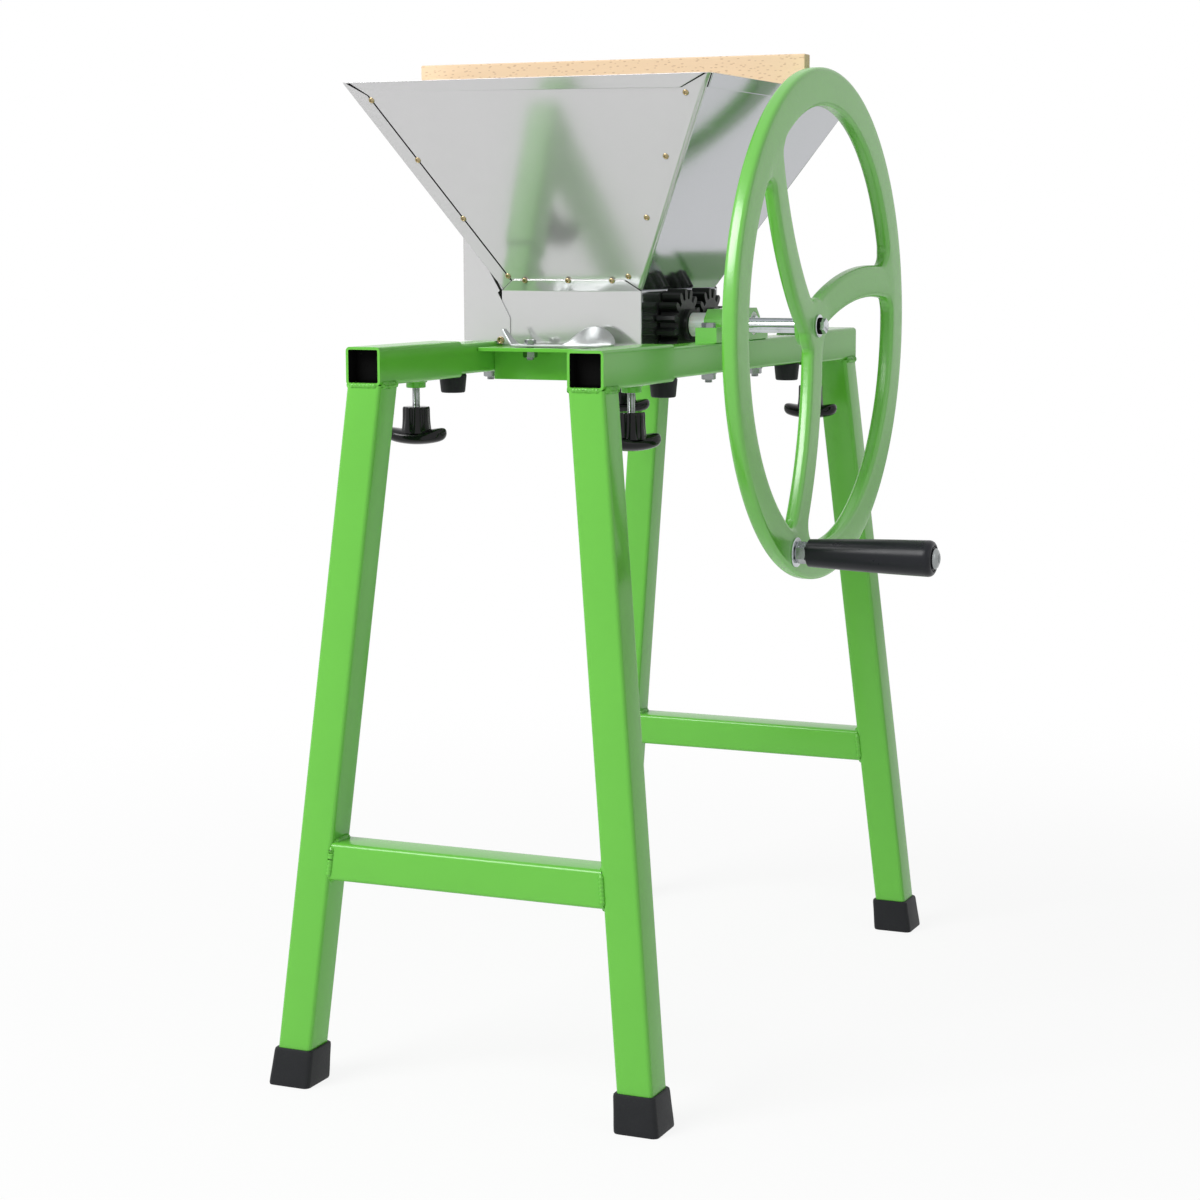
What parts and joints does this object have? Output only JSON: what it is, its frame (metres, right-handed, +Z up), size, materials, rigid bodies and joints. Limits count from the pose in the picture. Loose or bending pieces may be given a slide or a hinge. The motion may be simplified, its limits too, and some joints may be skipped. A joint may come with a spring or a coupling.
{
  "type": "hand-cranked fruit crusher",
  "caption": "Hand-cranked fruit crusher: sheet-metal hopper over two geared rollers, spoked flywheel with crank handle, on a splayed stand with sliding leg frames.",
  "frame": {"origin": "on the floor, under the middle of the object's bounding box", "axes": "+X along the shafts toward the flywheel and crank, +Y along the rails toward the rear, +Z up"},
  "size_m": [0.4846, 0.643, 0.7835],
  "materials": {
    "green_paint": "gloss powder coat",
    "zinc_steel": "zinc plated",
    "galvanised_sheet": "galvanised sheet",
    "aluminium": "as cast",
    "brass": "plain",
    "white_nylon": "turned",
    "black_iron": "black",
    "black_plastic": "moulded",
    "black_rubber": "moulded",
    "beech": "sanded, unvarnished"
  },
  "bodies": {
    "crusher": {"left_rail": "green_paint", "right_rail": "green_paint", "rail_end_plugs": "black_plastic", "front_cross_member": "green_paint", "rear_cross_member": "green_paint", "left_bearing_block": "green_paint", "right_bearing_block": "green_paint", "frame_bolts": "zinc_steel", "shaft_bushes": "white_nylon", "throat_front_wall": "galvanised_sheet", "throat_rear_wall": "galvanised_sheet", "left_side_plate": "galvanised_sheet", "right_side_plate": "galvanised_sheet", "left_guard": "galvanised_sheet", "guard_screws": "brass", "front_deflector": "zinc_steel", "rear_deflector": "zinc_steel", "hopper_front_panel": "galvanised_sheet", "hopper_rear_panel": "galvanised_sheet", "hopper_left_panel": "galvanised_sheet", "hopper_right_panel": "galvanised_sheet", "hopper_rivets": "brass", "clip_bolt": "zinc_steel", "rail_feet": "black_rubber"},
    "drive": {"drive_shaft": "zinc_steel", "drive_gear": "black_iron", "front_roller": "aluminium", "flywheel": "green_paint", "hub_bolt": "zinc_steel", "hub_washer": "zinc_steel", "handle_bolt": "zinc_steel", "handle_nut": "zinc_steel", "handle_washer": "zinc_steel"},
    "grip": {"handle_grip": "black_plastic"},
    "idler": {"idler_shaft": "zinc_steel", "idler_gear": "black_iron", "rear_roller": "aluminium"},
    "clip": {"hold_down_clip": "zinc_steel"},
    "pusher": {"pusher_board": "beech"},
    "front_legs": {"front_sleeves": "green_paint", "front_left_leg": "green_paint", "front_right_leg": "green_paint", "front_crossbar": "green_paint", "front_clamp_bosses": "green_paint", "front_foot_caps": "black_rubber"},
    "front_left_clamp": {"front_left_stud": "zinc_steel", "front_left_knob": "black_plastic"},
    "front_right_clamp": {"front_right_stud": "zinc_steel", "front_right_knob": "black_plastic"},
    "rear_legs": {"rear_sleeves": "green_paint", "rear_left_leg": "green_paint", "rear_right_leg": "green_paint", "rear_crossbar": "green_paint", "rear_clamp_bosses": "green_paint", "rear_foot_caps": "black_rubber"},
    "rear_left_clamp": {"rear_left_stud": "zinc_steel", "rear_left_knob": "black_plastic"},
    "rear_right_clamp": {"rear_right_stud": "zinc_steel", "rear_right_knob": "black_plastic"}
  },
  "joints": [
    {"name": "crank_turn", "type": "hinge", "parent": "crusher", "child": "drive", "pos_m": [0, -0.026, 0.5715], "axis": [1, 0, 0], "continuous": true},
    {"name": "idler_turn", "type": "hinge", "parent": "crusher", "child": "idler", "pos_m": [0, 0.026, 0.5715], "axis": [1, 0, 0], "continuous": true},
    {"name": "grip_turn", "type": "hinge", "parent": "drive", "child": "grip", "pos_m": [0.185, -0.0953, 0.39997], "axis": [1, 0, 0], "continuous": true},
    {"name": "clip_swing", "type": "hinge", "parent": "crusher", "child": "clip", "pos_m": [-0.0971, -0.105, 0.5557], "axis": [0, 0, 1], "range_deg": [-40, 8]},
    {"name": "pusher_lift", "type": "slide", "parent": "crusher", "child": "pusher", "axis": [0, 0, 1], "range_m": [0, 0.2]},
    {"name": "front_legs_slide", "type": "slide", "parent": "crusher", "child": "front_legs", "axis": [0, -1, 0], "range_m": [0, 0.1095]},
    {"name": "rear_legs_slide", "type": "slide", "parent": "crusher", "child": "rear_legs", "axis": [0, 1, 0], "range_m": [0, 0.1095]},
    {"name": "front_left_clamp_turn", "type": "hinge", "parent": "front_legs", "child": "front_left_clamp", "pos_m": [-0.1491, -0.2, 0.5], "axis": [0, 0, 1], "range_deg": [0, 540]},
    {"name": "front_right_clamp_turn", "type": "hinge", "parent": "front_legs", "child": "front_right_clamp", "pos_m": [0.0309, -0.2, 0.5], "axis": [0, 0, 1], "range_deg": [0, 540]},
    {"name": "rear_left_clamp_turn", "type": "hinge", "parent": "rear_legs", "child": "rear_left_clamp", "pos_m": [-0.1491, 0.2, 0.5], "axis": [0, 0, 1], "range_deg": [0, 540]},
    {"name": "rear_right_clamp_turn", "type": "hinge", "parent": "rear_legs", "child": "rear_right_clamp", "pos_m": [0.0309, 0.2, 0.5], "axis": [0, 0, 1], "range_deg": [0, 540]}
  ],
  "couplings": [
    {"joint": "idler_turn", "follows": "crank_turn", "ratio": -1}
  ]
}
